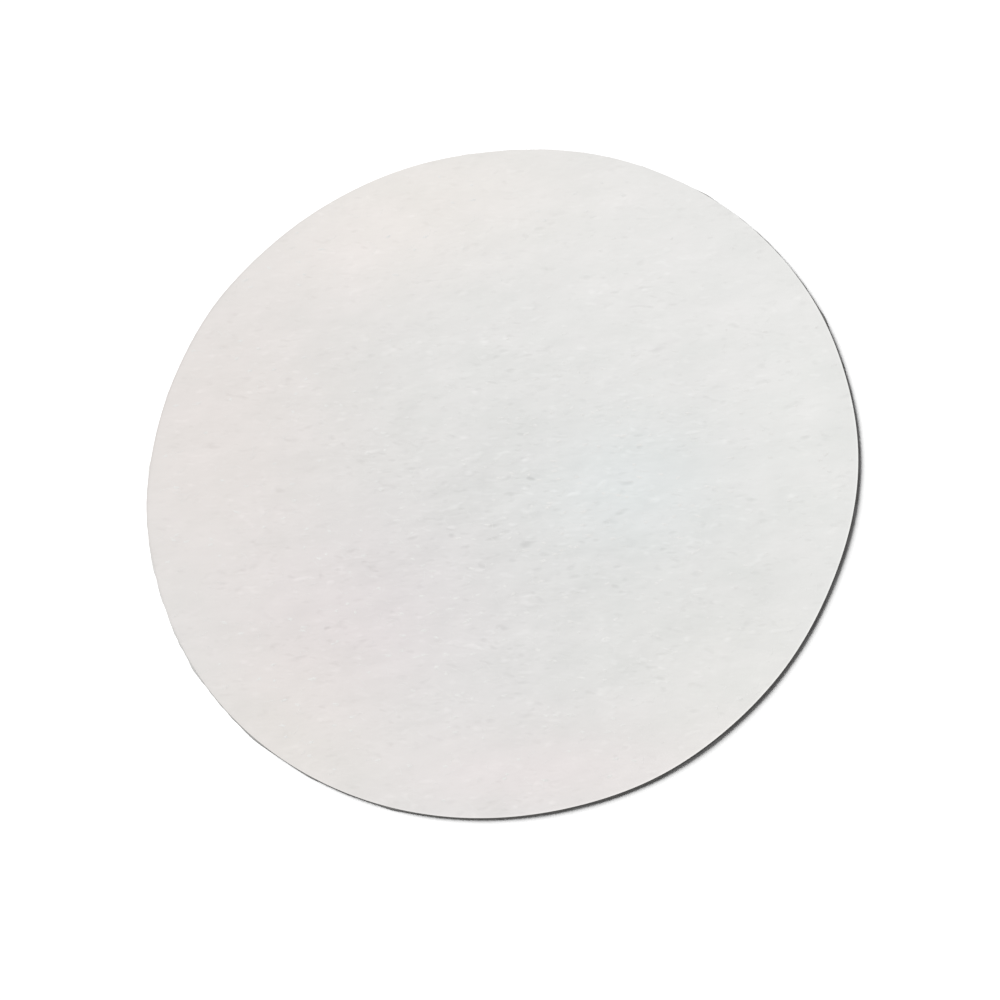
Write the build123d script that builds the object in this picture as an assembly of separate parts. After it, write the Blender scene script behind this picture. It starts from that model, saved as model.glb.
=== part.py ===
from build123d import *
import os

# A round of thick laboratory filter paper, cut out of the sheet by one stroke of a round die.
# Millimetres, +Z up through the thickness. The origin is the centre of the underside, the smooth wire face
# that the disc lies on, and +X runs along the grain of the sheet.

# Driving dimensions
DIAMETER = 90.0  # across the cut wall
THICKNESS = 0.39  # from the wire face below to the felt face above
ROLLOVER_WIDTH = 0.10  # how far in from the wall the die, on its way in, has drawn the lower edge up
ROLLOVER_DEPTH = 0.05  # how far it has drawn that edge up at the wall
BURR_WIDTH = 0.30  # how far in from the wall the die, on its way out, has lifted the felt face
BURR_HEIGHT = 0.018  # how far the burr stands above the felt face at the wall


def half_section(diameter, thickness, rollover_width, rollover_depth, burr_width, burr_height):
    """The disc's section from its axis out to the wall: flat below and rolled over in a quarter ellipse
    where the die went in, sheared straight at the rim, and raised in a low burr where the die came out."""
    rim_radius = diameter / 2
    rollover_start = rim_radius - rollover_width
    burr_start = rim_radius - burr_width
    with BuildSketch(Plane.XZ) as section:
        with BuildLine():
            underside = Line((0, 0), (rollover_start, 0))
            rollover = EllipticalCenterArc(
                (rollover_start, rollover_depth), rollover_width, rollover_depth, start_angle=270, arc_size=90
            )
            wall = Line(rollover @ 1, (rim_radius, thickness + burr_height))
            burr = TangentArc((burr_start, thickness), wall @ 1, tangent=(1, 0))
            upper_face = Line(burr @ 0, (0, thickness))
            Line(upper_face @ 1, underside @ 0)
        make_face()
    return section.sketch


def paper_disc():
    """The whole disc, its half section turned once about the vertical axis."""
    section = half_section(
        DIAMETER, THICKNESS, ROLLOVER_WIDTH, ROLLOVER_DEPTH, BURR_WIDTH, BURR_HEIGHT
    )
    disc = revolve(section, axis=Axis.Z)
    disc.label = "paper_disc"
    return disc


os.makedirs("parts", exist_ok=True)
export_step(paper_disc(), "parts/paper_disc.step")
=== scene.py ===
import math

import bpy
import numpy as np
from mathutils import Matrix, Vector


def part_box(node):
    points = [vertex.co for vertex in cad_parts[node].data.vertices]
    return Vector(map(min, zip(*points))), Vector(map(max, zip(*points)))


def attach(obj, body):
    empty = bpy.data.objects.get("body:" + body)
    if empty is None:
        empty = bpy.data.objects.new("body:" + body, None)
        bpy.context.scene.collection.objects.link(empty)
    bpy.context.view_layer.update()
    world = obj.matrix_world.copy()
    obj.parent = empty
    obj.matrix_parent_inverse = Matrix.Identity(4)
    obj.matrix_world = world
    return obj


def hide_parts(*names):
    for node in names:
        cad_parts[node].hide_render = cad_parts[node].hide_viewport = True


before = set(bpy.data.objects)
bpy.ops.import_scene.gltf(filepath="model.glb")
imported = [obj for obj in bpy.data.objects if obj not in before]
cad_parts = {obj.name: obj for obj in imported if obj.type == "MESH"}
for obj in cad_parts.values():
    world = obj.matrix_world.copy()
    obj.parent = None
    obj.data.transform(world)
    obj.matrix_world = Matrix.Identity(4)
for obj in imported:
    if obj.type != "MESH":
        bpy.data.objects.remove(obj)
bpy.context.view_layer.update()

# A round of thick laboratory filter paper, lying felt face up on a pale table in soft light from behind.
# Metres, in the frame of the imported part: the disc lies on Z = 0 about the origin, and the sheet's grain
# runs along X.

disc_low, disc_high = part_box("paper_disc")

MM = 0.001
MICRON = 0.000001

# The die-cut disc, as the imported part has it
RIM_RADIUS = (disc_high.x - disc_low.x) / 2
BURR_WIDTH = 0.30 * MM
BURR_HEIGHT = 0.018 * MM
ROLLOVER_WIDTH = 0.10 * MM
ROLLOVER_DEPTH = 0.05 * MM
FACE_HEIGHT = disc_high.z - BURR_HEIGHT

# Where the cut swings out of the true circle or in from it: the direction in degrees, how far round the
# swing reaches, and how far out it goes
CUT_SWINGS = (
    (12, 9, -0.14 * MM),
    (48, 14, 0.12 * MM),
    (70, 10, 0.10 * MM),
    (90, 12, -0.20 * MM),
    (146, 8, 0.18 * MM),
    (184, 7, 0.18 * MM),
    (224, 12, 0.03 * MM),
    (296, 12, 0.26 * MM),
    (336, 13, -0.29 * MM),
)
SWING_FADE = 8  # the power of the radius with which the swing fades in from the rim

# The burr dies out about one direction, over that many degrees to each side
BURR_GAP = 92
BURR_GAP_REACH = 40

# The sheared wall isn't quite upright: it leans out towards the underside, by an amount that wanders, and
# it is rough between
CUT_LEAN = 0.13 * MM
CUT_WANDER = 0.45  # the share of the lean by which it wanders
CUT_WANDER_REACH = 3  # in points of the rim
CUT_ROUGHNESS = 0.012 * MM
CUT_SEED = 31

# How finely the sheet is divided. Cells are longer along the grain, as the fibre tufts are, and each of the
# underside's is as long and as wide as UNDERSIDE_STEP of the felt face's
CELLS_ALONG = 210
CELLS_ACROSS = 370
UNDERSIDE_STEP = 5
GRID_RADIUS = RIM_RADIUS - BURR_WIDTH
BURR_RINGS = 4
WALL_RINGS = 4
ROLLOVER_RINGS = 2

# The maps that the materials are baked through, from 0 to 1 each way. On the sheet's map the felt face has
# most of the room, the wire face a corner, and the cut edge lies below in strips. Each is given by its
# middle and its radius, or by its left, right, bottom and top
MAP_NAME = "OFBake"
FELT_MAP = ((0.423, 0.577), 0.410)
WIRE_MAP = ((0.834, 0.166), 0.155)
EDGE_MAP = (0.01, 0.66, 0.01, 0.15)
EDGE_MAP_STRIPS = 4
EDGE_MAP_GAP = 0.4  # the share of each strip's height that stays empty above it
FIBRE_MAP_GAP = 0.1  # the share of a fibre's cell that stays empty on each side

# The relief of the felt face: each layer's seed, its reach along and across the grain and its typical height
RELIEF_LAYERS = (
    (12, 0.80 * MM, 0.45 * MM, 5.5 * MICRON),  # lumps
    (13, 1.8 * MM, 1.2 * MM, 10.0 * MICRON),  # clouds
    (14, 5.0 * MM, 4.0 * MM, 20.0 * MICRON),  # swells
)
RELIEF_SPACING = 0.06 * MM
RELIEF_SPAN = 2.1 * RIM_RADIUS  # the relief is worked out over a square of that width

# Where the felt is roughest, and how much smoother it lies far from there
ROUGH_MIDDLE = (4 * MM, -8 * MM)
ROUGH_REACH = 30 * MM
SMOOTHEST = 0.45

# Tufts and pits: single features of the felt, longer along the grain, where a noise of unit spread goes past
# the threshold either way
TUFT_SEED = 21
TUFT_REACH_ALONG = 0.52 * MM
TUFT_REACH_ACROSS = 0.28 * MM
TUFT_THRESHOLD = 2.0
TUFT_HEIGHT = 12.0 * MICRON
PIT_DEPTH = 10.0 * MICRON

# Fibres are closed tubes, with that many rings of points between their two ends
TUBE_SIDES = 4
FIBRE_RINGS = 5

# Fibres that lie on the felt face
FIBRE_SCATTER = 0.985  # the share of the rim's radius within which their middles lie
FIBRE_HALF_HEIGHT = 0.005 * MM
FIBRE_TAPER = 4  # the power of the way out from its middle with which a fibre tapers and dips
FIBRE_DIP = 1.6  # how far its ends lie below its middle, in shares of its rise above the felt

# Flocs are small bundles of short fibres that lie nearly side by side
FLOC_SEED = 41
FLOC_COUNT = 420
FLOC_FIBRES = 5
FLOC_WIDTH = 0.055 * MM  # between one fibre of the bundle and the next
FLOC_LENGTHS = (0.45 * MM, 1.1 * MM)
FLOC_LENGTH_SHARES = (0.6, 1.0)  # each fibre's length as a share of its bundle's
FLOC_SLIDE = 0.12  # how far a fibre is shifted along its bundle, as a share of the bundle's length
FLOC_TURN = math.radians(11)
FLOC_SPLAY = 0.10  # how far a fibre turns out of its bundle, in radians
FLOC_BEND = 0.35  # how far a fibre typically turns along its length, in radians
FLOC_RISE = 0.005 * MM
FLOC_HALF_WIDTH = 0.030 * MM

# Single fibres are longer and lie between the flocs
SINGLE_SEED = 42
SINGLE_COUNT = 900
SINGLE_LENGTHS = (0.7 * MM, 2.4 * MM)
SINGLE_TURN = math.radians(38)
SINGLE_BEND = 0.9  # in radians, as above
SINGLE_RISE = 0.003 * MM
SINGLE_HALF_WIDTH = 0.019 * MM

# Fibre ends stand out of the cut wall. Each is sunk into it by its root, and turns round the rim and curls
# up or down, the more the nearer to its tip
EDGE_SEED = 43
EDGE_COUNT = 620
EDGE_LENGTHS = (0.08 * MM, 0.34 * MM)
EDGE_LENGTH_SHARES = (0.3, 1.0)
EDGE_ROOT = 0.03 * MM
EDGE_SWEEP = 0.7  # a typical angle from straight out, in radians
EDGE_SWEEP_POWER = 1.5
EDGE_CURL = 0.5  # a typical rise of the tip, as a share of the length
EDGE_CURL_POWER = 2
EDGE_HALF_WIDTH = 0.008 * MM
EDGE_THINNING = 0.7  # the share of its width that it has lost at its tip
EDGE_HEADROOM = 0.1 * MM  # how far above the felt face it may curl

# One step of an eight-bit grey near the paper's own, as a share of full white light
LEVEL = 0.0077

# The paper's own colour, and broad soft patches of painted light and shade where it departs from that,
# standing in for uneven and slightly tinted lighting: the middle and the reach in millimetres, then red,
# green and blue in steps
PAPER_COLOUR = (0.746, 0.748, 0.7355)
PAINTED_LIGHT_PATCHES = (
    ((22, 30), (26, 26), (7.7, 7.0, 7.0)),  # light at the far right
    ((-10, 40), (22, 12), (8.0, 4.5, 2.4)),  # light far edge
    ((-18, 30), (14, 8), (5.3, 3.4, 3.1)),  # light far left
    ((-38, 8), (22, 30), (5.3, -0.3, -1.5)),  # warm left
    ((-16, -20), (18, 14), (1.1, -3.0, -1.1)),  # rosy near left
    ((-26, -34), (14, 14), (3.6, 1.0, -1.2)),  # warm near left edge
    ((17, -4), (11, 9), (0.4, 3.2, 4.4)),  # cool right
    ((-4, -8), (20, 14), (-2.2, -1.8, -1.6)),  # grey middle
    ((40, 2), (10, 26), (6.0, 6.1, 5.7)),  # light right edge
    ((6, -40), (20, 7), (6.1, 0.9, 1.5)),  # warm near edge
    ((30, -34), (14, 14), (5.7, 4.8, 3.7)),  # light near right
)

# What a noise texture lies about
NOISE_MIDDLE = 0.5

# Tone that varies by chance over the felt face, with its size along and across the grain: clouds of the
# sheet's formation and, finer, its mottling
CLOUD_SIZE = (7 * MM, 4.5 * MM)
CLOUD_STEPS = (9, 7, 8)
MOTTLE_SIZE = (1.3 * MM, 0.45 * MM)
MOTTLE_STEPS = 8

# Specks are the felt's finest features: light ones stand up a little and dark ones are small hollows. Their
# colour is painted light: the specks are painted lighter, as a painted highlight, and the hollows darker, as
# painted shade. They are the highest and the lowest places of two noises, each with its size along and
# across the grain, its heading in degrees and its shift
SPECK_NOISES = (
    ((1.7 * MM, 0.85 * MM), 1, 0.013),
    ((1.3 * MM, 0.72 * MM), -12, 0.037),
)
SPECK_LEVEL = 0.205
HOLLOW_LEVEL = 0.205
SPECK_RISE = 0.05 * MM
HOLLOW_DEPTH = 0.06 * MM
# How much lighter the specks are painted, as a painted highlight, and how much darker the hollows, as
# painted shade, in steps
SPECK_HIGHLIGHT_STEPS = 28
HOLLOW_SHADE_STEPS = 34

# Specks come in loose patches, with smoother felt between
PATCH_SIZE = (8.0 * MM, 5.0 * MM)
PATCH_CONTRAST = 3.0

# The nap is the faint unevenness between the specks
NAP_SIZE = (0.9 * MM, 0.42 * MM)
NAP_HEIGHT = 0.3 * MICRON

# The cut edge, painted darker than the paper: partly the light lost between the fibre ends and the layers of
# the felt, partly painted shade that deepens the dark line along the shaded rim
CUT_SHADED_COLOUR = (0.57, 0.562, 0.548)
CUT_VARIATION = (0.16, 0.16, 0.15)
CUT_ENDS_SIZE = (0.10 * MM, 0.06 * MM)
CUT_ENDS_HEIGHT = 30 * MICRON
CUT_LAYERS_SIZE = (1.2 * MM, 0.05 * MM)
CUT_LAYERS_HEIGHT = 20 * MICRON

# The wire face, with the mark of the woven wire that the sheet was formed on
WIRE_PITCH = 0.42 * MM
WIRE_MARK_HEIGHT = 3 * MICRON
WIRE_MARK_STEPS = 1.2
WIRE_FELT_SIZE = (0.5 * MM, 0.25 * MM)
WIRE_FELT_HEIGHT = 12 * MICRON
WIRE_CLOUD_SIZE = (6 * MM, 4 * MM)
WIRE_CLOUD_STEPS = (12, 11, 10)

# The loose fibres, a touch lighter than the felt they lie on
FIBRE_COLOUR = (0.80, 0.796, 0.78)
FIBRE_CLOUD_SIZE = (2.5 * MM, 1.5 * MM)
FIBRE_CLOUD_STEPS = 10

# How rough each surface is, and how strongly it shines
FELT_FINISH = (0.94, 0.20)
CUT_FINISH = (0.96, 0.15)
WIRE_FINISH = (0.86, 0.30)
FIBRE_FINISH = (0.70, 0.30)

# Where the camera stands, how it is turned about its own axis, its focal length in millimetres, and how far
# from the origin it aims
CAMERA_AZIMUTH = math.radians(23.1)
CAMERA_ELEVATION = math.radians(66.6)
CAMERA_ROLL = math.radians(24.78)
CAMERA_DISTANCE = 293.5 * MM
CAMERA_LENS = 85.0
CAMERA_AIM_RIGHT = -1.224 * MM
CAMERA_AIM_UP = -4.598 * MM
CAMERA_NEAREST = 0.01
CAMERA_FARTHEST = 20

# The key light comes from behind and to the left of the camera's upright, the fill light from all round.
# Their shares are of the light that falls on the table
SHADOW_DIRECTION = math.radians(-61.0)
LIGHT_ELEVATION = math.radians(33.0)
LIGHT_SPREAD = math.radians(36.0)
KEY_SHARE = 0.88
FILL_SHARE = 0.12

# The table's width, how strongly it shows light and how strongly it sends light on. It shows a touch more
# than all of it, so that it is white right up to the shadow
TABLE_SIZE = 4.0
TABLE_WHITE = 1.08
TABLE_BOUNCE = 0.3


def felt_noise(seed, along, across):
    """A square of seeded smooth noise with unit spread, that reaches a little past the disc each way and
    whose features have those lengths along and across the grain."""
    count = int(RELIEF_SPAN / RELIEF_SPACING)
    white = np.random.default_rng(seed).standard_normal((count, count))
    across_waves = np.fft.fftfreq(count, RELIEF_SPACING)[:, None] * across
    along_waves = np.fft.rfftfreq(count, RELIEF_SPACING)[None, :] * along
    keep = np.exp(-2 * np.pi**2 * (across_waves**2 + along_waves**2))
    smooth = np.fft.irfft2(np.fft.rfft2(white) * keep, s=white.shape)
    return smooth / smooth.std()


def relief_map():
    """The height of the felt face above its mean, over the same square."""
    height = 0.0
    for seed, along, across, amount in RELIEF_LAYERS:
        height = height + amount * felt_noise(seed, along, across)
    tufts = felt_noise(TUFT_SEED, TUFT_REACH_ALONG, TUFT_REACH_ACROSS)
    height += TUFT_HEIGHT * np.maximum(tufts - TUFT_THRESHOLD, 0)
    height -= PIT_DEPTH * np.maximum(-tufts - TUFT_THRESHOLD, 0)
    return height


RELIEF = relief_map()


def roughness_share(x, y):
    """How rough the felt lies at points of the disc, from 1 where it is roughest down to SMOOTHEST."""
    away = ((x - ROUGH_MIDDLE[0]) ** 2 + (y - ROUGH_MIDDLE[1]) ** 2) / ROUGH_REACH**2
    return SMOOTHEST + (1 - SMOOTHEST) * np.exp(-away)


def relief(x, y):
    """The felt face's height above its mean at points of the disc, read between the map's points."""
    middle = (len(RELIEF) - 1) / 2
    last = len(RELIEF) - 1.001  # just short of the last point, so that there is always one beyond
    column = np.clip(x / RELIEF_SPACING + middle, 0, last)
    row = np.clip(y / RELIEF_SPACING + middle, 0, last)
    left = column.astype(int)
    below = row.astype(int)
    right_share = column - left
    above_share = row - below
    near = RELIEF[below, left] * (1 - right_share) + RELIEF[below, left + 1] * right_share
    far = RELIEF[below + 1, left] * (1 - right_share) + RELIEF[below + 1, left + 1] * right_share
    return (near * (1 - above_share) + far * above_share) * roughness_share(x, y)


def degrees_between(angle, direction):
    """How many degrees an angle lies from a direction given in degrees, the short way round."""
    return (np.degrees(angle) - direction + 180) % 360 - 180


def cut_swing(angle):
    """How far the cut lies outside the true circle in each direction."""
    total = 0.0
    for direction, reach, amount in CUT_SWINGS:
        total = total + amount * np.exp(-((degrees_between(angle, direction) / reach) ** 2))
    return total


def ring_noise(draw, count, reach):
    """Smooth noise of unit spread round a ring of that many points. Its features reach that many of them."""
    waves = np.fft.rfftfreq(count) * reach
    keep = np.exp(-2 * (np.pi * waves) ** 2)
    smooth = np.fft.irfft(np.fft.rfft(draw.standard_normal(count)) * keep, count)
    return smooth / smooth.std()


def swung(x, y):
    """Points of the true disc, moved to where the real cut leaves them."""
    radius = np.hypot(x, y)
    grow = 1 + cut_swing(np.arctan2(y, x)) / RIM_RADIUS * (radius / RIM_RADIUS) ** SWING_FADE
    return x * grow, y * grow


def felt_height(x, y):
    """The height of the felt face over points of the true disc: its relief, and the burr at the rim."""
    rise = np.clip((np.hypot(x, y) - RIM_RADIUS + BURR_WIDTH) / BURR_WIDTH, 0, 1)
    off_gap = (degrees_between(np.arctan2(y, x), BURR_GAP) / BURR_GAP_REACH) ** 2
    return FACE_HEIGHT + relief(x, y) + BURR_HEIGHT * rise**2 * (1 - np.exp(-off_gap))


def disc_grid(columns, rows, radius):
    """Points of a grid that fills a disc with cells of equal area: each square ring of the grid becomes a
    round one. Returned as x and y, one row of the grid after the other."""
    u, v = np.meshgrid(np.linspace(-1, 1, columns + 1), np.linspace(-1, 1, rows + 1))
    sideways = np.abs(u) > np.abs(v)
    reach = np.where(sideways, u, v)
    safe_u = np.where(sideways, u, 1.0)
    safe_v = np.where(sideways | (v == 0), 1.0, v)
    angle = np.where(sideways, v / safe_u * np.pi / 4, np.pi / 2 - u / safe_v * np.pi / 4)
    x, y = reach * np.cos(angle), reach * np.sin(angle)
    return x.ravel() * radius, y.ravel() * radius


def border(columns, rows):
    """The grid's outer points, counterclockwise from its first corner, as indices into its points."""
    index = np.arange((columns + 1) * (rows + 1)).reshape(rows + 1, columns + 1)
    return np.concatenate([index[0, :-1], index[:-1, -1], index[-1, :0:-1], index[:0:-1, 0]])


def grid_faces(columns, rows, first):
    """The grid's cells as quads, counterclockwise from above."""
    index = first + np.arange((columns + 1) * (rows + 1)).reshape(rows + 1, columns + 1)
    corners = [index[:-1, :-1], index[:-1, 1:], index[1:, 1:], index[1:, :-1]]
    return np.stack([corner.ravel() for corner in corners], axis=1)


def ring_faces(upper, lower):
    """Quads between two rings of as many points, facing outwards when upper lies above lower."""
    return np.stack([upper, lower, np.roll(lower, -1), np.roll(upper, -1)], axis=1)


def underside_fans(outer, inner):
    """Triangles that join the wall's lowest ring to the coarser ring of the underside."""
    fans = []
    middle = UNDERSIDE_STEP // 2 + 1
    for i, corner in enumerate(inner):
        following = inner[(i + 1) % len(inner)]
        edge = [outer[(i * UNDERSIDE_STEP + k) % len(outer)] for k in range(UNDERSIDE_STEP + 1)]
        for k in range(UNDERSIDE_STEP):
            apex = corner if k < middle else following
            fans.append([int(apex), int(edge[k + 1]), int(edge[k])])
        fans.append([int(corner), int(following), int(edge[middle])])
    return fans


def edge_profile():
    """The cut edge below the burr's top, as (radius, height) pairs: the sheared wall, then the rollover."""
    top = FACE_HEIGHT + BURR_HEIGHT
    wall = [top + (ROLLOVER_DEPTH - top) * (i + 1) / WALL_RINGS for i in range(WALL_RINGS)]
    turns = [math.pi / 2 * (i + 1) / ROLLOVER_RINGS for i in range(ROLLOVER_RINGS)]
    rollover = [
        (
            RIM_RADIUS - ROLLOVER_WIDTH * (1 - math.cos(turn)),
            ROLLOVER_DEPTH * (1 - math.sin(turn)),
        )
        for turn in turns
    ]
    return [(RIM_RADIUS, height) for height in wall] + rollover


class Shell:
    """The sheet's points and faces, as they are gathered from the felt face down."""

    def __init__(self):
        self.points = np.empty((0, 3))
        self.faces = []

    def add_points(self, x, y, height):
        """Adds points of the true disc, moved to where the real cut leaves them. Returns their indices."""
        first = len(self.points)
        self.points = np.concatenate([self.points, np.stack([*swung(x, y), height], axis=1)])
        return first + np.arange(len(x))

    def add_ring(self, before, x, y, height):
        """Adds a ring of points, and quads that join it to the ring before it. Returns the new ring."""
        ring = self.add_points(x, y, height)
        self.faces += ring_faces(before, ring).tolist()
        return ring


def add_felt_face(shell):
    """Adds the felt face and the rings of the burr round it. Returns the outermost ring and its angles."""
    x, y = disc_grid(CELLS_ALONG, CELLS_ACROSS, GRID_RADIUS)
    shell.add_points(x, y, felt_height(x, y))
    shell.faces += grid_faces(CELLS_ALONG, CELLS_ACROSS, 0).tolist()
    ring = border(CELLS_ALONG, CELLS_ACROSS)
    angle = np.arctan2(y[ring], x[ring])
    for i in range(BURR_RINGS):
        radius = GRID_RADIUS + BURR_WIDTH * (i + 1) / BURR_RINGS
        x, y = radius * np.cos(angle), radius * np.sin(angle)
        ring = shell.add_ring(ring, x, y, felt_height(x, y))
    return ring, angle


def add_cut_edge(shell, ring, angle):
    """Adds the sheared wall and the rollover below a ring. Returns the lowest ring."""
    draw = np.random.default_rng(CUT_SEED)
    lean = CUT_LEAN * (1 + CUT_WANDER * ring_noise(draw, len(angle), CUT_WANDER_REACH))
    for i, (true_radius, height) in enumerate(edge_profile()):
        share = min((i + 1) / WALL_RINGS, 1)
        radius = true_radius + lean * share
        if share < 1:
            radius += draw.normal(0, CUT_ROUGHNESS, len(angle))
        x, y = radius * np.cos(angle), radius * np.sin(angle)
        ring = shell.add_ring(ring, x, y, np.full_like(angle, height))
    return ring


def add_wire_face(shell, ring):
    """Adds the flat wire face, divided more coarsely, and joins it to the lowest ring of the edge."""
    columns, rows = CELLS_ALONG // UNDERSIDE_STEP, CELLS_ACROSS // UNDERSIDE_STEP
    x, y = disc_grid(columns, rows, GRID_RADIUS)
    first = shell.add_points(x, y, np.zeros_like(x))[0]
    shell.faces += grid_faces(columns, rows, first)[:, ::-1].tolist()
    shell.faces += underside_fans(ring, first + border(columns, rows))


def new_piece(name, points, faces, smooth):
    """A mesh object in the scene, shaded smoothly or face by face."""
    mesh = bpy.data.meshes.new(name)
    mesh.from_pydata(points.tolist(), [], faces)
    mesh.update()
    mesh.polygons.foreach_set("use_smooth", [smooth] * len(mesh.polygons))
    piece = bpy.data.objects.new(name, mesh)
    bpy.context.scene.collection.objects.link(piece)
    return piece


def set_map(piece, places):
    """Gives the piece its map for baking, from the place of each corner of its faces in turn."""
    layer = piece.data.uv_layers.new(name=MAP_NAME)
    layer.data.foreach_set("uv", np.ravel(places))


def edge_places(count, rings):
    """Where the corners of the cut edge's faces lie on the map, for rings of that many faces from the top
    down: the edge is parted into strips that lie one above the other."""
    left, right, bottom, top = EDGE_MAP
    strip_faces = math.ceil(count / EDGE_MAP_STRIPS)
    strip, start = np.divmod(np.arange(count), strip_faces)
    across = np.stack([start, start, start + 1, start + 1], axis=1) / strip_faces
    places = []
    for ring in range(rings):
        upper, lower = 1 - ring / rings, 1 - (ring + 1) / rings
        up = strip[:, None] + (1 - EDGE_MAP_GAP) * np.array([upper, lower, lower, upper])
        map_x = left + (right - left) * across
        map_y = bottom + (top - bottom) * up / EDGE_MAP_STRIPS
        places.append(np.stack([map_x, map_y], axis=2))
    return np.concatenate(places).reshape(-1, 2)


def map_sheet(sheet, felt_faces, edge_faces):
    """The sheet's map for baking: both faces as they lie, the wire face seen from below, and the edge."""
    mesh = sheet.data
    corners = np.empty(len(mesh.loops), np.int32)
    mesh.loops.foreach_get("vertex_index", corners)
    points = np.empty(3 * len(mesh.vertices))
    mesh.vertices.foreach_get("co", points)
    flat = points.reshape(-1, 3)[corners, :2] / RIM_RADIUS
    places = FELT_MAP[0] + FELT_MAP[1] * flat
    rings = WALL_RINGS + ROLLOVER_RINGS
    edge_start = 4 * felt_faces  # four corners to each quad
    wire_start = edge_start + 4 * edge_faces
    places[edge_start:wire_start] = edge_places(edge_faces // rings, rings)
    places[wire_start:] = WIRE_MAP[0] + WIRE_MAP[1] * flat[wire_start:] * (-1, 1)
    set_map(sheet, places)


def assign_slots(sheet, felt_faces, edge_faces):
    """Gives the first material slot to the felt face, the second to the cut edge, the third to the rest."""
    slots = np.full(len(sheet.data.polygons), 2, np.int32)
    slots[:felt_faces] = 0
    slots[felt_faces : felt_faces + edge_faces] = 1
    sheet.data.polygons.foreach_set("material_index", slots)


def sharpen(sheet, ring):
    """Makes the edges between the points of a ring sharp."""
    ends = np.empty(2 * len(sheet.data.edges), np.int32)
    sheet.data.edges.foreach_get("vertices", ends)
    on_ring = (ends >= ring[0]) & (ends <= ring[-1])
    sheet.data.edges.foreach_set("use_edge_sharp", on_ring.reshape(-1, 2).all(axis=1))


def paper_sheet():
    """The sheet as one closed mesh: the felt face with its relief, the burr, the cut wall and the rollover,
    and below them the flat wire face."""
    shell = Shell()
    rim, angle = add_felt_face(shell)
    felt_faces = len(shell.faces)
    lowest = add_cut_edge(shell, rim, angle)
    edge_faces = len(shell.faces) - felt_faces
    add_wire_face(shell, lowest)
    sheet = new_piece("paper_sheet", shell.points, shell.faces, True)
    assign_slots(sheet, felt_faces, edge_faces)
    sharpen(sheet, rim)
    map_sheet(sheet, felt_faces, edge_faces)
    return sheet


def tube_faces(steps):
    """The faces of a closed tube of that many steps, first the quads along it, then the triangles that close
    its ends. Each corner is a spot on the tube: a step along it and a side round it."""
    quads, fans = [], []
    for step in range(1, steps - 2):
        for side in range(TUBE_SIDES):
            quads.append([(step, side), (step + 1, side), (step + 1, side + 1), (step, side + 1)])
    for side in range(TUBE_SIDES):
        fans.append([(0, side + 0.5), (1, side), (1, side + 1)])
        fans.append([(steps - 2, side + 1), (steps - 2, side), (steps - 1, side + 0.5)])
    return quads, fans


def tube_point(steps, step, side):
    """Which of a tube's points a spot on it is. They are its first end, its rings and its last end."""
    if step == 0:
        return 0
    if step == steps - 1:
        return 1 + (steps - 2) * TUBE_SIDES
    return 1 + (step - 1) * TUBE_SIDES + side % TUBE_SIDES


def cell_places(fibres, steps, spots):
    """Where the corners of all the fibres' faces lie on the map, fibre by fibre: each fibre has a cell of
    its own, with its steps from left to right and its sides from the bottom up."""
    columns = math.ceil(math.sqrt(fibres))
    rows = math.ceil(fibres / columns)
    row, column = np.divmod(np.arange(fibres), columns)
    share = FIBRE_MAP_GAP + (1 - 2 * FIBRE_MAP_GAP) * spots / (steps - 1, TUBE_SIDES)
    cells = np.stack([column, row], axis=1)[:, None]
    return ((cells + share) / (columns, rows)).reshape(-1, 2)


def fibre_mesh(name, middles, sides, lifts):
    """Fibres as one mesh of closed four-sided tubes that taper to a point at both ends. middles holds the
    points along each fibre, and sides and lifts how far it reaches sideways and upwards from each."""
    fibres, steps, _ = middles.shape
    inner = middles[:, 1:-1]
    across, above = sides[:, 1:-1], lifts[:, 1:-1]
    rings = np.stack([inner + across, inner + above, inner - across, inner - above], axis=2)
    bodies = rings.reshape(fibres, -1, 3)
    points = np.concatenate([middles[:, :1], bodies, middles[:, -1:]], axis=1)
    starts = (np.arange(fibres) * points.shape[1])[:, None, None]
    faces, places = [], []
    for part in tube_faces(steps):
        corners = np.array([[tube_point(steps, *spot) for spot in face] for face in part])
        faces += (starts + corners).reshape(-1, corners.shape[1]).tolist()
        places.append(cell_places(fibres, steps, np.array(part).reshape(-1, 2)))
    piece = new_piece(name, points.reshape(-1, 3), faces, False)
    set_map(piece, np.concatenate(places))
    return piece


def fibre_paths(draw, x, y, headings, lengths, bend):
    """Gently curved flat paths through the given middles: positions and headings at each step."""
    steps = FIBRE_RINGS + 2
    along = np.linspace(-0.5, 0.5, steps)[None, :]
    bends = draw.normal(0, bend, (len(x), 1))
    waves = draw.normal(0, bend / 2, (len(x), 1))
    turn = headings[:, None] + bends * along + waves * np.sin(2 * math.pi * along)
    reach = lengths[:, None] / (steps - 1)
    path_x = np.cumsum(np.cos(turn) * reach, axis=1)
    path_y = np.cumsum(np.sin(turn) * reach, axis=1)
    path_x += x[:, None] - path_x.mean(axis=1, keepdims=True)
    path_y += y[:, None] - path_y.mean(axis=1, keepdims=True)
    return path_x, path_y, turn


def disc_scatter(draw, count):
    """That many places on the felt face, thicker where it is roughest."""
    x, y = np.empty(0), np.empty(0)
    while len(x) < count:
        try_x, try_y, luck = draw.uniform(-1, 1, (3, 4 * count))
        keep = np.hypot(try_x, try_y) < FIBRE_SCATTER
        keep &= (luck + 1) / 2 < roughness_share(try_x * RIM_RADIUS, try_y * RIM_RADIUS) ** 2
        x = np.append(x, try_x[keep] * RIM_RADIUS)
        y = np.append(y, try_y[keep] * RIM_RADIUS)
    return x[:count], y[:count]


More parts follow.
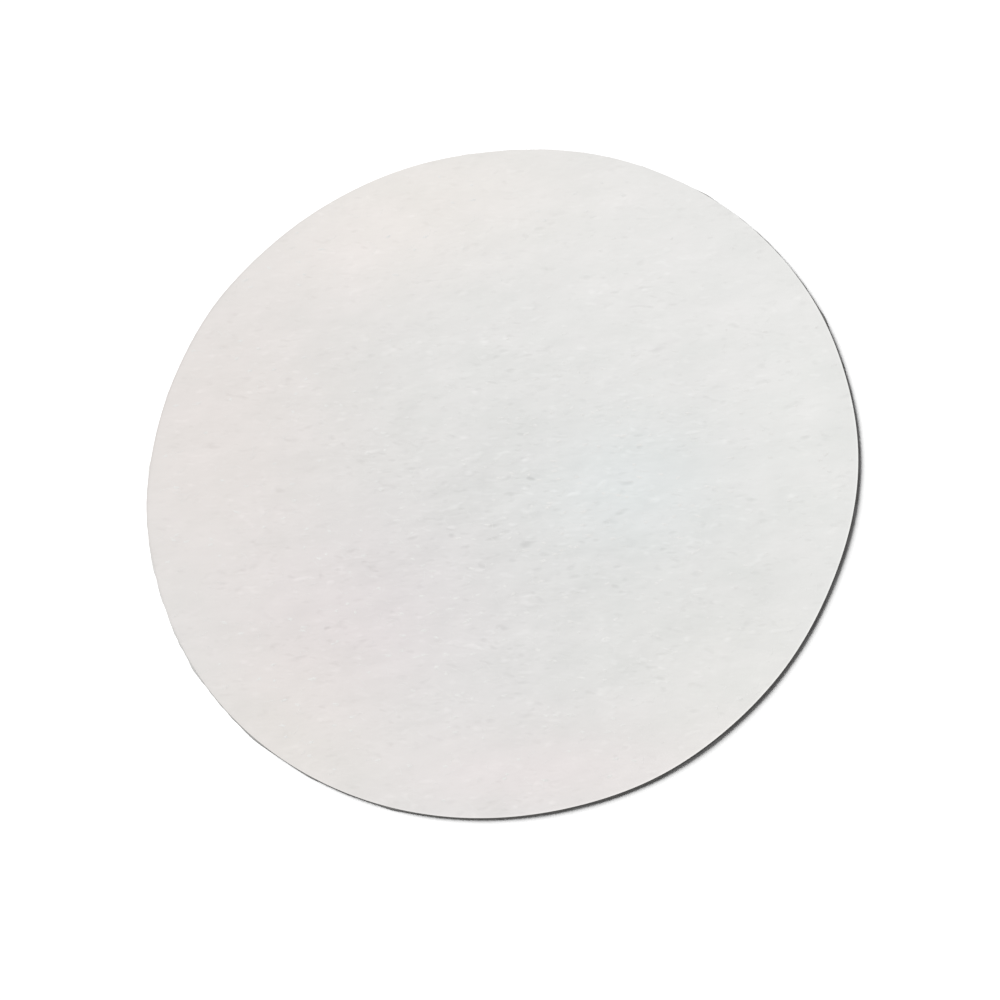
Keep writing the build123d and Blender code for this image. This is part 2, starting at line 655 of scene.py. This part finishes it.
def laid_fibres(name, path_x, path_y, turn, half_width, rise):
    """Fibres that lie on the felt face along flat paths, sunk to about their middle, with their ends below
    the surface."""
    along = np.linspace(-1, 1, path_x.shape[1])[None, :]
    taper = np.sqrt(np.clip(1 - along**FIBRE_TAPER, 0, 1)) * np.ones_like(path_x)
    place_x, place_y = swung(path_x, path_y)
    height = felt_height(path_x, path_y) + rise * (1 - FIBRE_DIP * along**FIBRE_TAPER)
    middles = np.stack([place_x, place_y, height], axis=2)
    width = half_width * taper
    sides = np.stack([-np.sin(turn) * width, np.cos(turn) * width, np.zeros_like(width)], axis=2)
    lifts = np.stack([np.zeros_like(width), np.zeros_like(width), FIBRE_HALF_HEIGHT * taper], axis=2)
    return fibre_mesh(name, middles, sides, lifts)


def surface_flocs():
    """Bundles of short fibres that lie nearly side by side and stand out of the felt."""
    draw = np.random.default_rng(FLOC_SEED)
    x, y = disc_scatter(draw, FLOC_COUNT)
    headings = draw.normal(0, FLOC_TURN, FLOC_COUNT)
    lengths = draw.uniform(*FLOC_LENGTHS, FLOC_COUNT)
    off_middle = np.arange(FLOC_FIBRES) - (FLOC_FIBRES - 1) / 2
    strands = []
    for apart in off_middle * FLOC_WIDTH:
        slide = draw.normal(0, FLOC_SLIDE, FLOC_COUNT) * lengths
        strand_x = x - np.sin(headings) * apart + np.cos(headings) * slide
        strand_y = y + np.cos(headings) * apart + np.sin(headings) * slide
        strand_headings = headings + draw.normal(0, FLOC_SPLAY, FLOC_COUNT)
        strand_lengths = lengths * draw.uniform(*FLOC_LENGTH_SHARES, FLOC_COUNT)
        strands.append([strand_x, strand_y, strand_headings, strand_lengths])
    path = fibre_paths(draw, *np.concatenate(strands, axis=1), FLOC_BEND)
    middle_rise = 1 - np.abs(off_middle) / FLOC_FIBRES
    rise = np.repeat(middle_rise, FLOC_COUNT)[:, None] * FLOC_RISE
    return laid_fibres("surface_flocs", *path, FLOC_HALF_WIDTH, rise)


def single_fibres():
    """Longer fibres that lie one by one on the felt face."""
    draw = np.random.default_rng(SINGLE_SEED)
    x, y = disc_scatter(draw, SINGLE_COUNT)
    headings = draw.normal(0, SINGLE_TURN, SINGLE_COUNT)
    lengths = draw.uniform(*SINGLE_LENGTHS, SINGLE_COUNT)
    path = fibre_paths(draw, x, y, headings, lengths, SINGLE_BEND)
    return laid_fibres("single_fibres", *path, SINGLE_HALF_WIDTH, SINGLE_RISE)


def edge_fibres():
    """Fibre ends that the die has left standing out of the cut wall, each curling up or down."""
    draw = np.random.default_rng(EDGE_SEED)
    angle = draw.uniform(-math.pi, math.pi, EDGE_COUNT)
    height = draw.uniform(ROLLOVER_DEPTH, FACE_HEIGHT, EDGE_COUNT)
    length = draw.uniform(*EDGE_LENGTHS, EDGE_COUNT) * draw.uniform(*EDGE_LENGTH_SHARES, EDGE_COUNT)
    sweep = draw.normal(0, EDGE_SWEEP, EDGE_COUNT)
    curl = draw.normal(0, EDGE_CURL, EDGE_COUNT)
    along = np.linspace(0, 1, FIBRE_RINGS + 2)[None, :]
    outward = RIM_RADIUS - EDGE_ROOT + (length * np.cos(sweep))[:, None] * along
    round_by = (length * np.sin(sweep))[:, None] * along**EDGE_SWEEP_POWER
    out_x, out_y = np.cos(angle)[:, None], np.sin(angle)[:, None]
    path_x = outward * out_x - round_by * out_y
    path_y = outward * out_y + round_by * out_x
    level = height[:, None] + (length * curl)[:, None] * along**EDGE_CURL_POWER
    path_z = np.clip(level, 2 * EDGE_HALF_WIDTH, FACE_HEIGHT + EDGE_HEADROOM)
    swing = 1 + cut_swing(angle)[:, None] / RIM_RADIUS
    middles = np.stack([path_x * swing, path_y * swing, path_z], axis=2)
    width = EDGE_HALF_WIDTH * (1 - EDGE_THINNING * along) * np.ones((EDGE_COUNT, 1))
    sides = np.stack([-out_y * width, out_x * width, np.zeros_like(width)], axis=2)
    lifts = np.stack([np.zeros_like(width), np.zeros_like(width), width], axis=2)
    return fibre_mesh("edge_fibres", middles, sides, lifts)


class Nodes:
    """A material's node tree, with short ways to add the nodes that paper needs."""

    def __init__(self, name):
        self.material = bpy.data.materials.new(name)
        self.material.use_nodes = True
        self.tree = self.material.node_tree
        self.shader = self.tree.nodes["Principled BSDF"]
        self.place = self.add("ShaderNodeTexCoord").outputs["Object"]

    def feed(self, socket, value):
        """Joins an output to the input socket, or sets the socket to a plain value."""
        if isinstance(value, bpy.types.NodeSocket):
            self.tree.links.new(value, socket)
        else:
            socket.default_value = value

    def add(self, kind, *inputs, **settings):
        """A node with its settings by name and its first inputs in turn."""
        node = self.tree.nodes.new(kind)
        for name, value in settings.items():
            setattr(node, name, value)
        for socket, value in zip(node.inputs, inputs):
            self.feed(socket, value)
        return node

    def math(self, operation, *values):
        """The result of a sum, a product or the like."""
        return self.add("ShaderNodeMath", *values, operation=operation).outputs[0]

    def total(self, values):
        """The sum of several outputs."""
        result = values[0]
        for value in values[1:]:
            result = self.math("ADD", result, value)
        return result

    def placed(self, location, turn, scale):
        """The place on the disc, seen from a location, with an angle and a scale taken off."""
        node = self.add("ShaderNodeMapping", vector_type="TEXTURE")
        self.feed(node.inputs["Vector"], self.place)
        node.inputs["Location"].default_value = location
        node.inputs["Rotation"].default_value = (0, 0, turn)
        node.inputs["Scale"].default_value = scale
        return node.outputs[0]

    def noise(self, size, turn=0.0, shift=0.0, detail=1.0):
        """Cloud noise about NOISE_MIDDLE, with features of that size along and across a heading. Its shift
        is what sets one noise apart from another."""
        along, across = size
        noise = self.add("ShaderNodeTexNoise")
        self.feed(noise.inputs["Vector"], self.placed((shift, shift, 0), turn, (along, across, across)))
        noise.inputs["Scale"].default_value = 1.0
        noise.inputs["Detail"].default_value = detail
        return noise.outputs[0]

    def centred(self, noise):
        """A noise moved so that it lies about 0."""
        return self.math("SUBTRACT", noise, NOISE_MIDDLE)

    def excess(self, value, level):
        """How far a value stands above a level, and 0 below it."""
        return self.math("MAXIMUM", self.math("SUBTRACT", value, level), 0.0)

    def nearness(self, middle, reach):
        """1 at a place on the disc, falling smoothly to 0 at about twice its reach along x and y."""
        place = self.placed((*middle, 0), 0.0, (*reach, 1))
        away = self.add("ShaderNodeVectorMath", place, operation="LENGTH").outputs["Value"]
        return self.math("POWER", math.e, self.math("MULTIPLY", self.math("MULTIPLY", away, away), -1.0))

    def tinted(self, colour, share, offset):
        """The colour plus share times an offset."""
        return self.add("ShaderNodeVectorMath", share, offset, colour, operation="MULTIPLY_ADD").outputs[0]

    def raise_surface(self, *layers, share=1.0):
        """Bends the surface's normal by layers of relief, each a pattern and its height in metres, with a
        share of the whole."""
        bump = self.add("ShaderNodeBump")
        bump.inputs["Strength"].default_value = 1.0
        bump.inputs["Distance"].default_value = 1.0
        heights = [self.math("MULTIPLY", pattern, height) for pattern, height in layers]
        self.feed(bump.inputs["Height"], self.math("MULTIPLY", self.total(heights), share))
        self.feed(self.shader.inputs["Normal"], bump.outputs[0])

    def finished(self, colour, finish):
        """The material, once its shader has the colour, the roughness and the shine."""
        self.feed(self.shader.inputs["Base Color"], colour)
        self.shader.inputs["Roughness"].default_value = finish[0]
        self.shader.inputs["Specular IOR Level"].default_value = finish[1]
        return self.material


def grey_steps(counts):
    """An offset in colour from steps of grey: one number for all three channels, or one for each."""
    return [count * LEVEL for count in np.broadcast_to(counts, 3).tolist()]


def felt_specks(nodes):
    """How far each place belongs to a light speck, and how far to a dark hollow."""
    specks, hollows = [], []
    for size, turn, shift in SPECK_NOISES:
        noise = nodes.noise(size, turn=math.radians(turn), shift=shift, detail=0.0)
        specks.append(nodes.excess(noise, NOISE_MIDDLE + SPECK_LEVEL))
        hollows.append(nodes.excess(NOISE_MIDDLE - HOLLOW_LEVEL, noise))
    return nodes.total(specks), nodes.total(hollows)


def felt_patches(nodes):
    """How strongly the felt's fine features show: most about its roughest place, and in loose patches."""
    middle = nodes.nearness(ROUGH_MIDDLE, (ROUGH_REACH, ROUGH_REACH))
    share = nodes.math("MULTIPLY_ADD", middle, 1 - SMOOTHEST, SMOOTHEST)
    patches = nodes.excess(nodes.noise(PATCH_SIZE, shift=0.11), NOISE_MIDDLE - 1 / PATCH_CONTRAST)
    return nodes.math("MULTIPLY", share, nodes.math("MULTIPLY", patches, PATCH_CONTRAST))


def painted_light_and_clouds(nodes):
    """The paper's own colour with its soft patches of painted light and shade and its formation clouds."""
    colour = PAPER_COLOUR
    # Painted light and shade: each patch lightens, darkens or tints the colour where the lighting was uneven
    for middle, reach, steps in PAINTED_LIGHT_PATCHES:
        near = nodes.nearness([part * MM for part in middle], [part * MM for part in reach])
        colour = nodes.tinted(colour, near, grey_steps(steps))
    clouds = nodes.centred(nodes.noise(CLOUD_SIZE, shift=0.3, detail=2.0))
    return nodes.tinted(colour, clouds, grey_steps(CLOUD_STEPS))


def felt_face():
    """Matte felted paper: soft patches of painted light and shade, formation clouds, mottling, specks
    painted lighter as a painted highlight, hollows painted darker as painted shade.
    """
    nodes = Nodes("felt_face")
    specks, hollows = felt_specks(nodes)
    nap = nodes.noise(NAP_SIZE, shift=0.071)
    share = felt_patches(nodes)
    nodes.raise_surface((specks, SPECK_RISE), (hollows, -HOLLOW_DEPTH), (nap, NAP_HEIGHT), share=share)
    mottle = nodes.centred(nodes.noise(MOTTLE_SIZE, shift=0.5, detail=2.0))
    fine = grey_steps(0)
    # Real mottling, with a painted highlight on the specks and painted shade in the hollows
    for feature, steps in ((mottle, MOTTLE_STEPS), (specks, SPECK_HIGHLIGHT_STEPS), (hollows, -HOLLOW_SHADE_STEPS)):
        fine = nodes.tinted(fine, feature, grey_steps(steps))
    return nodes.finished(nodes.tinted(painted_light_and_clouds(nodes), share, fine), FELT_FINISH)


def cut_wall():
    """The sheared edge: short fibre ends and layers of the felt, painted darker than its face, partly as
    painted shade.
    """
    nodes = Nodes("cut_wall")
    ends = nodes.noise(CUT_ENDS_SIZE, shift=0.2, detail=3.0)
    layers = nodes.noise(CUT_LAYERS_SIZE, shift=0.4, detail=2.0)
    nodes.raise_surface((ends, CUT_ENDS_HEIGHT), (layers, CUT_LAYERS_HEIGHT))
    # The edge's darker colour is partly painted shade
    return nodes.finished(nodes.tinted(CUT_SHADED_COLOUR, nodes.centred(ends), CUT_VARIATION), CUT_FINISH)


def wire_mark(nodes):
    """The mesh of the woven wire: waves along the grain times waves across it, about 0."""
    waves = []
    for turn in (0, 90):
        place = nodes.placed((0, 0, 0), math.radians(turn), (WIRE_PITCH, 1, 1))
        apart = nodes.add("ShaderNodeSeparateXYZ", place).outputs[0]
        waves.append(nodes.math("SINE", nodes.math("MULTIPLY", apart, 2 * math.pi)))
    return nodes.math("MULTIPLY", *waves)


def wire_face():
    """The underside, pressed smooth against the mould's woven wire, whose mesh it still shows faintly."""
    nodes = Nodes("wire_face")
    mark = wire_mark(nodes)
    felt = nodes.noise(WIRE_FELT_SIZE, shift=0.1, detail=3.0)
    nodes.raise_surface((mark, WIRE_MARK_HEIGHT), (felt, WIRE_FELT_HEIGHT))
    clouds = nodes.centred(nodes.noise(WIRE_CLOUD_SIZE, shift=0.6, detail=3.0))
    colour = nodes.tinted(PAPER_COLOUR, clouds, grey_steps(WIRE_CLOUD_STEPS))
    return nodes.finished(nodes.tinted(colour, mark, grey_steps(WIRE_MARK_STEPS)), WIRE_FINISH)


def loose_fibre():
    """Bleached cotton fibre, a touch lighter than the felt, with a faint gloss."""
    nodes = Nodes("loose_fibre")
    clouds = nodes.centred(nodes.noise(FIBRE_CLOUD_SIZE, shift=0.8, detail=2.0))
    return nodes.finished(nodes.tinted(FIBRE_COLOUR, clouds, grey_steps(FIBRE_CLOUD_STEPS)), FIBRE_FINISH)


def white_seen(tree, shaded, other):
    """A shader that is the first one to the camera and in reflections, and the second to other light."""
    path = tree.nodes.new("ShaderNodeLightPath")
    seen = path.outputs["Is Camera Ray"]
    for ray in ("Is Glossy Ray", "Is Transmission Ray"):
        either = tree.nodes.new("ShaderNodeMath")
        either.operation = "MAXIMUM"
        tree.links.new(seen, either.inputs[0])
        tree.links.new(path.outputs[ray], either.inputs[1])
        seen = either.outputs[0]
    mix = tree.nodes.new("ShaderNodeMixShader")
    tree.links.new(seen, mix.inputs[0])
    tree.links.new(other.outputs[0], mix.inputs[1])
    tree.links.new(shaded.outputs[0], mix.inputs[2])
    return mix


def table_top():
    """The plain pale table: white to the camera, with the disc's shadow on it, and greyer to other light."""
    bpy.ops.mesh.primitive_plane_add(size=TABLE_SIZE)
    table = bpy.context.object
    table.name = "table_top"
    material = bpy.data.materials.new("pale_table")
    material.use_nodes = True
    tree = material.node_tree
    tree.nodes.clear()
    shown = tree.nodes.new("ShaderNodeBsdfDiffuse")
    shown.inputs["Color"].default_value = (TABLE_WHITE, TABLE_WHITE, TABLE_WHITE, 1)
    bounced = tree.nodes.new("ShaderNodeBsdfDiffuse")
    bounced.inputs["Color"].default_value = (TABLE_BOUNCE, TABLE_BOUNCE, TABLE_BOUNCE, 1)
    mix = white_seen(tree, shown, bounced)
    output = tree.nodes.new("ShaderNodeOutputMaterial")
    tree.links.new(mix.outputs[0], output.inputs["Surface"])
    table.data.materials.append(material)


def key_light():
    """The distant soft lamp, behind and to the left of the camera's upright."""
    lamp = bpy.data.lights.new("key_light", "SUN")
    lamp.energy = KEY_SHARE * math.pi / math.sin(LIGHT_ELEVATION)
    lamp.angle = LIGHT_SPREAD
    key = bpy.data.objects.new("key_light", lamp)
    bpy.context.scene.collection.objects.link(key)
    heading = SHADOW_DIRECTION + CAMERA_AZIMUTH
    across = math.cos(LIGHT_ELEVATION)
    down = math.sin(LIGHT_ELEVATION)
    travel = Vector((math.cos(heading) * across, math.sin(heading) * across, -down))
    key.rotation_euler = travel.to_track_quat("-Z", "Y").to_euler()


def fill_light():
    """A weak even light from all round. The camera and reflections see white there."""
    world = bpy.data.worlds.new("studio")
    bpy.context.scene.world = world
    world.use_nodes = True
    tree = world.node_tree
    tree.nodes.clear()
    backdrop = tree.nodes.new("ShaderNodeBackground")
    backdrop.inputs["Strength"].default_value = 1.0
    backdrop.inputs["Color"].default_value = (1, 1, 1, 1)
    fill = tree.nodes.new("ShaderNodeBackground")
    fill.inputs["Strength"].default_value = FILL_SHARE
    fill.inputs["Color"].default_value = (1, 1, 1, 1)
    mix = white_seen(tree, backdrop, fill)
    output = tree.nodes.new("ShaderNodeOutputWorld")
    tree.links.new(mix.outputs[0], output.inputs["Surface"])


def camera():
    """The camera above the disc, turned about its own axis as the photograph was."""
    lens = bpy.data.cameras.new("camera")
    lens.lens = CAMERA_LENS
    lens.clip_start = CAMERA_NEAREST
    lens.clip_end = CAMERA_FARTHEST
    view = bpy.data.objects.new("camera", lens)
    bpy.context.scene.collection.objects.link(view)
    turn, lift = CAMERA_AZIMUTH, CAMERA_ELEVATION
    back = Vector((math.sin(turn) * math.cos(lift), -math.cos(turn) * math.cos(lift), math.sin(lift)))
    right = Vector((math.cos(turn), math.sin(turn), 0))
    away = Vector((-math.sin(turn), math.cos(turn), 0))
    aim = right * CAMERA_AIM_RIGHT + away * CAMERA_AIM_UP + Vector((0, 0, FACE_HEIGHT))
    upright = (-back).to_track_quat("-Z", "Y")
    view.rotation_mode = "QUATERNION"
    view.rotation_quaternion = upright @ Matrix.Rotation(-CAMERA_ROLL, 3, "Z").to_quaternion()
    view.location = aim + back * CAMERA_DISTANCE
    bpy.context.scene.camera = view


sheet = paper_sheet()
for material in (felt_face(), cut_wall(), wire_face()):
    sheet.data.materials.append(material)
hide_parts("paper_disc")
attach(sheet, "root")

fibre = loose_fibre()
for piece in (surface_flocs(), single_fibres(), edge_fibres()):
    piece.data.materials.append(fibre)
    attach(piece, "root")

table_top()
key_light()
fill_light()
camera()
bpy.context.scene.view_settings.view_transform = "Standard"
